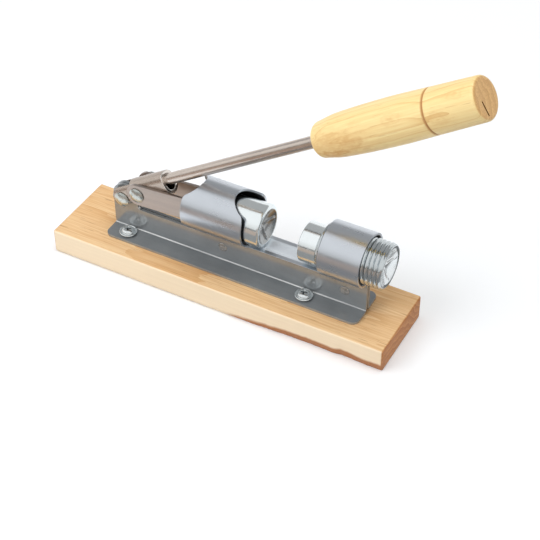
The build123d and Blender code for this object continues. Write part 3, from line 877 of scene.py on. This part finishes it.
def ramMesh():
    tail, face, radius, chamfer = [ram[key] for key in ("tail", "face", "radius", "tailChamfer")]
    rim = radius - bowl["rimWall"]
    profile = [(tail, 0.0), (tail, ram["tailRing"]), (tail, radius - chamfer), (tail + chamfer, radius)]
    profile += [(tail + (face - ram["rimRound"] - tail) * step / ram["sideSteps"], radius)
                for step in range(1, ram["sideSteps"])]
    profile += roundRim(face, radius, ram["rimRound"], -1)
    profile += bowlProfile(face, radius, -1)
    mesh = turned("ramPlunger", profile, ram["segments"], onAxis(ram["axis"]), bowlMarks(face, rim),
                  ribbedBowl(face, rim, -1))
    cutters = []
    for side in (-1, 1):
        middle, half = side * ram["slotMiddle"], ram["slotWidth"] / 2
        low = (tail - ram["slotOver"], middle - half, ram["axis"] - 2 * radius)
        cutters.append(boxMesh(low, (ram["slotFront"], middle + half, ram["axis"] + 2 * radius)))
    middle = Vector((ram["holeX"], 0, ram["holeZ"])) * mm
    across = Matrix.Translation(middle) @ Matrix.Rotation(pi / 2, 4, "Z")
    half, reach = ram["holeHalf"], ram["holeRadius"]
    bar = [(-half, 0.0), (-half, reach), (half, reach), (half, 0.0)]
    cutters.append(turned("crossHole", bar, ram["holeSegments"], across))
    return sharpen(cutMesh(mesh, cutters), ram["sharpAngle"])


cup = {
    "radius": 13.6, "axis": 60.0, "face": 55.0, "back": 67.7, "rimRound": 0.9, "backChamfer": 0.4,
    "shank": 5.0, "shankEnd": 75.85, "head": 8.2, "headEnd": 79.85,
    "sideSteps": 6, "segments": 120, "sharpAngle": 40,
}


def cupMesh():
    face, back, radius, chamfer = [cup[key] for key in ("face", "back", "radius", "backChamfer")]
    rim = radius - bowl["rimWall"]
    profile = list(reversed(bowlProfile(face, radius, 1)))
    profile += list(reversed(roundRim(face, radius, cup["rimRound"], 1)))
    profile += [(face + (back - face) * step / cup["sideSteps"], radius)
                for step in range(1, cup["sideSteps"])]
    profile += [(back - chamfer, radius), (back, radius - chamfer), (back, cup["shank"])]
    profile += [(cup["shankEnd"], cup["shank"]), (cup["shankEnd"], cup["head"])]
    profile += [(cup["headEnd"], cup["head"]), (cup["headEnd"], 0.0)]
    mesh = turned("anvilCup", profile, cup["segments"], onAxis(cup["axis"]), bowlMarks(face, rim),
                  ribbedBowl(face, rim, 1))
    return sharpen(mesh, cup["sharpAngle"])


thread = {
    "start": 67.85, "end": 113.85, "axis": 61.6, "crest": 15.6, "depth": 1.05, "pitch": 3.0,
    "phase": 0.25, "roundness": 0.85, "rowsPerPitch": 14, "segments": 120, "sharpAngle": 60,
    "startInset": 1.0, "startRise": 2.0, "leadIn": 1.1, "endInset": 0.3, "endRing": 0.9,
    "mouth": 6.9, "mouthEnd": 75.7, "chamber": 10.1, "chamberEnd": 80.0,
}


def threadRadius(along, angle):
    # round ridges that meet in narrow valleys, one turn a pitch, right-handed
    phase = (along - thread["start"]) / thread["pitch"] - angle / (2 * pi) - thread["phase"]
    return thread["crest"] - thread["depth"] * (1 - abs(cos(pi * phase)) ** thread["roundness"])


def screwEndMesh():
    start, end, crest, mouth, chamber = [thread[key] for key in ("start", "end", "crest", "mouth", "chamber")]
    root = crest - thread["depth"]
    rim = root - bowl["rimWall"]
    profile = [(thread["chamberEnd"], 0.0), (thread["chamberEnd"], chamber), (thread["mouthEnd"], chamber),
               (thread["mouthEnd"], mouth), (start, mouth), (start, root - thread["startInset"])]
    rows = round((end - start) / thread["pitch"] * thread["rowsPerPitch"])
    profile += [(start + (end - start) * row / rows, crest) for row in range(1, rows)]
    profile += [(end, root - thread["endInset"]), (end, root - thread["endRing"])]
    profile += bowlProfile(end, root, -1)
    ribbed = ribbedBowl(end, rim, -1)

    def threaded(along, radius, angle):
        if radius != crest:
            return ribbed(along, radius, angle)
        # the ridges run out in a bevel at both ends
        entry = root - thread["startInset"] + (along - start) / thread["leadIn"] * thread["startRise"]
        leave = root - thread["endInset"] + end - along
        return along, min(threadRadius(along, angle), entry, leave)

    mesh = turned("anvilScrew", profile, thread["segments"], onAxis(thread["axis"]), bowlMarks(end, rim),
                  threaded)
    return sharpen(mesh, thread["sharpAngle"])


makePiece("ramPlunger", ramMesh(), "ram", "chrome_plate", metals["chrome_plate"], "ram")
makePiece("anvilCup", cupMesh(), "cup", "chrome_plate", metals["chrome_plate"], "anvil_cup")
makePiece("anvilScrew", screwEndMesh(), "screw", "thread_zinc", metals["thread_zinc"], "anvil_screw")
print("ram, cup and anvil screw turned")


# folds: the small inside curve where each web runs into the barrel

fold = {
    "radius": 3.6, "webFace": 2.3, "barrelOuter": 18.4, "axisHeight": 61.6, "rear": -28.2, "front": 100.2,
    "steps": 14, "stations": 40, "sink": 0.12, "lap": 0.35, "sharpAngle": 50,
}


def foldMesh(side):
    radius, axisHeight = fold["radius"], fold["axisHeight"]
    centreY = fold["webFace"] + radius
    drop = sqrt((fold["barrelOuter"] + radius)**2 - centreY**2)
    start = pi  # on the web
    end = atan2(drop, -centreY)  # on the barrel, looking from the fold's centre
    outline = []
    for step in range(fold["steps"] + 1):
        angle = start + (end - start) * step / fold["steps"]
        outline.append((centreY + radius * cos(angle), axisHeight - drop + radius * sin(angle)))
    behind = fold["webFace"] - fold["sink"]
    top = axisHeight - fold["barrelOuter"] + fold["lap"]
    outline = [(behind, outline[0][1])] + outline + [(behind, top)]
    work = bmesh.new()
    rows = []
    for station in range(fold["stations"] + 1):
        x = fold["rear"] + (fold["front"] - fold["rear"]) * station / fold["stations"]
        rows.append([work.verts.new((x * mm, side * y * mm, z * mm)) for y, z in outline])
    skin(work, rows)
    work.faces.new(rows[0])
    work.faces.new(rows[-1])
    return sharpen(smoothMeshOf(work, "fold"), fold["sharpAngle"])


for name, side in (("foldNear", -1), ("foldFar", 1)):
    piece = placed(foldMesh(side), name)
    piece.data.materials.append(metals["barrel_steel"])
    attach(piece, "frame")
print("folds made")


# stage: white floor and world, soft lamps, and cards that only reflections see

stage = {
    "floorGlow": 0.205, "floorShade": 0.7, "floorSeenShade": (0.8, 0.82, 0.84, 1), "floorFade": (0.26, 0.6),
    "floorSize": 4.0, "floorHeight": -0.0002, "worldFill": 0.55, "aim": (0, 0, 0.04), "cardRise": 1e-4,
    # name, place, width and depth, watts
    "lamps": [
        ("keyLamp", (-0.75, -1.05, 1.25), (1.1, 0.9), 13.0),
        ("topLamp", (0.25, -0.1, 1.6), (1.2, 0.8), 9.0),
    ],
    # name, span along x, y and z of the two long edges, colour or low and high colour
    "cards": [
        ("backCard", (-3, 3), (0.22, 1.0), (1.6, 0.7), grey(0.42)),
        ("overStrip", (-3, 3), (0.03, 1.0), (0.22, 1.0), grey(0.02)),
        ("frontCard", (-3, 3), (-1.5, 0.2), (-1.5, 1.1), rgb(226, 226, 224), grey(1.0)),
        ("lowStrip", (-3, 3), (-1.5, 0.03), (-1.5, 0.2), grey(0.1)),
        ("frontMat", (-3, 3), (-1.5, 0.001), (-0.16, 0.001), rgb(188, 170, 158)),
        ("nearMat", (-0.056, 3), (-0.16, 0.001), (-0.034, 0.001), grey(0.3)),
        # a dark card that only reflections see: painted shadow of the board and handle on the floor
        ("sideMat", (0.135, 0.22), (0.03, 0.001), (0.14, 0.001), grey(0.22)),
    ],
}


def seenRays(tree):
    # 1 where the floor or the room is looked at or mirrored, 0 where it lights the object
    path = addNode(tree, "ShaderNodeLightPath").outputs
    seen = mathNode(tree, "MAXIMUM", path["Is Camera Ray"], path["Is Glossy Ray"])
    return mathNode(tree, "MAXIMUM", seen, path["Is Transmission Ray"])


def panel(name, span, firstEdge, secondEdge, material):
    corners = [(span[0], *firstEdge), (span[1], *firstEdge), (span[1], *secondEdge), (span[0], *secondEdge)]
    mesh = bpy.data.meshes.new(name)
    mesh.from_pydata(corners, [], [(0, 1, 2, 3)])
    mesh.materials.append(material)
    card = placed(mesh, name)
    card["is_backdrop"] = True
    return card


def cardMaterial(name, lowColor, highColor, low, high):
    # plain glow that changes from lowColor to highColor between two heights
    material, tree, shader, spot = startMaterial(name)
    tree.nodes.remove(shader)
    share = addNode(tree, "ShaderNodeMapRange", {0: partOf(tree, spot, "Z"), 1: low, 2: high}).outputs[0]
    color = mixColor(tree, share, lowColor, highColor)
    glow = addNode(tree, "ShaderNodeEmission", {"Color": color, "Strength": 1.0})
    feed(tree, tree.nodes["Material Output"], {"Surface": glow.outputs[0]})
    return material


def floorMaterial():
    # the floor takes the shadow close to the object and is plain white farther off
    material, tree, shader, spot = startMaterial("paleFloor")
    tree.nodes.remove(shader)
    seen = seenRays(tree)
    near, far = stage["floorFade"]
    fade = addNode(tree, "ShaderNodeMapRange", {
        0: vectorNode(tree, "LENGTH", spot), 1: near, 2: far, 3: stage["floorGlow"], 4: 1.0}).outputs[0]
    seenShade = ramp(tree, fade, [(stage["floorGlow"], stage["floorSeenShade"]), (1.0, grey(0.0))])
    shade = mixColor(tree, seen, grey(stage["floorShade"]), seenShade)
    matte = addNode(tree, "ShaderNodeBsdfDiffuse", {"Color": shade})
    strength = times(tree, seen, fade)
    glow = addNode(tree, "ShaderNodeEmission", {"Color": grey(1.0), "Strength": strength})
    both = addNode(tree, "ShaderNodeAddShader", {0: matte.outputs[0], 1: glow.outputs[0]})
    feed(tree, tree.nodes["Material Output"], {"Surface": both.outputs[0]})
    return material


size, height = stage["floorSize"], stage["floorHeight"]
panel("floor", (-size, size), (-size, height), (size, height), floorMaterial())
for name, span, firstEdge, secondEdge, *colors in stage["cards"]:
    low, high = sorted((firstEdge[1], secondEdge[1]))
    glow = cardMaterial(name, colors[0], colors[-1], low, high + stage["cardRise"])
    card = panel(name, span, firstEdge, secondEdge, glow)
    for ray in ("camera", "diffuse", "shadow", "transmission"):
        setattr(card, "visible_" + ray, False)

world = bpy.data.worlds.new("studio")
bpy.context.scene.world = world
world.use_nodes = True
tree = world.node_tree
backdrop = tree.nodes["Background"]
extra = times(tree, seenRays(tree), 1 - stage["worldFill"])
feed(tree, backdrop, {"Color": grey(1.0), "Strength": plus(tree, extra, stage["worldFill"])})

for name, place, spread, power in stage["lamps"]:
    light = bpy.data.lights.new(name, "AREA")
    light.shape = "RECTANGLE"
    light.size, light.size_y = spread
    light.energy = power
    lamp = placed(light, name)
    lamp.location = place
    lamp.visible_glossy = False  # metals mirror the white room and the cards, not the lamps
    lamp.rotation_euler = (Vector(stage["aim"]) - Vector(place)).to_track_quat("-Z", "Y").to_euler()
print("stage set")


# camera fitted to the photograph's view of the board

view = {
    "eye": (0.36689, -0.62352, 0.6513), "lens": 95.41, "sensor": 36.0, "clip": (0.01, 50.0),
    "right": (0.87899, 0.47684, 0.0), "up": (-0.31599, 0.58249, 0.74892),
    "back": (0.35712, -0.65829, 0.66268),
}
cameraData = bpy.data.cameras.new("camera")
cameraData.lens = view["lens"]
cameraData.sensor_width = view["sensor"]
cameraData.clip_start, cameraData.clip_end = view["clip"]
camera = placed(cameraData, "camera")
turn = Matrix((view["right"], view["up"], view["back"])).transposed()
camera.matrix_world = Matrix.Translation(view["eye"]) @ turn.to_4x4()
bpy.context.scene.camera = camera
bpy.context.scene.view_settings.view_transform = "Standard"

low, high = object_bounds()
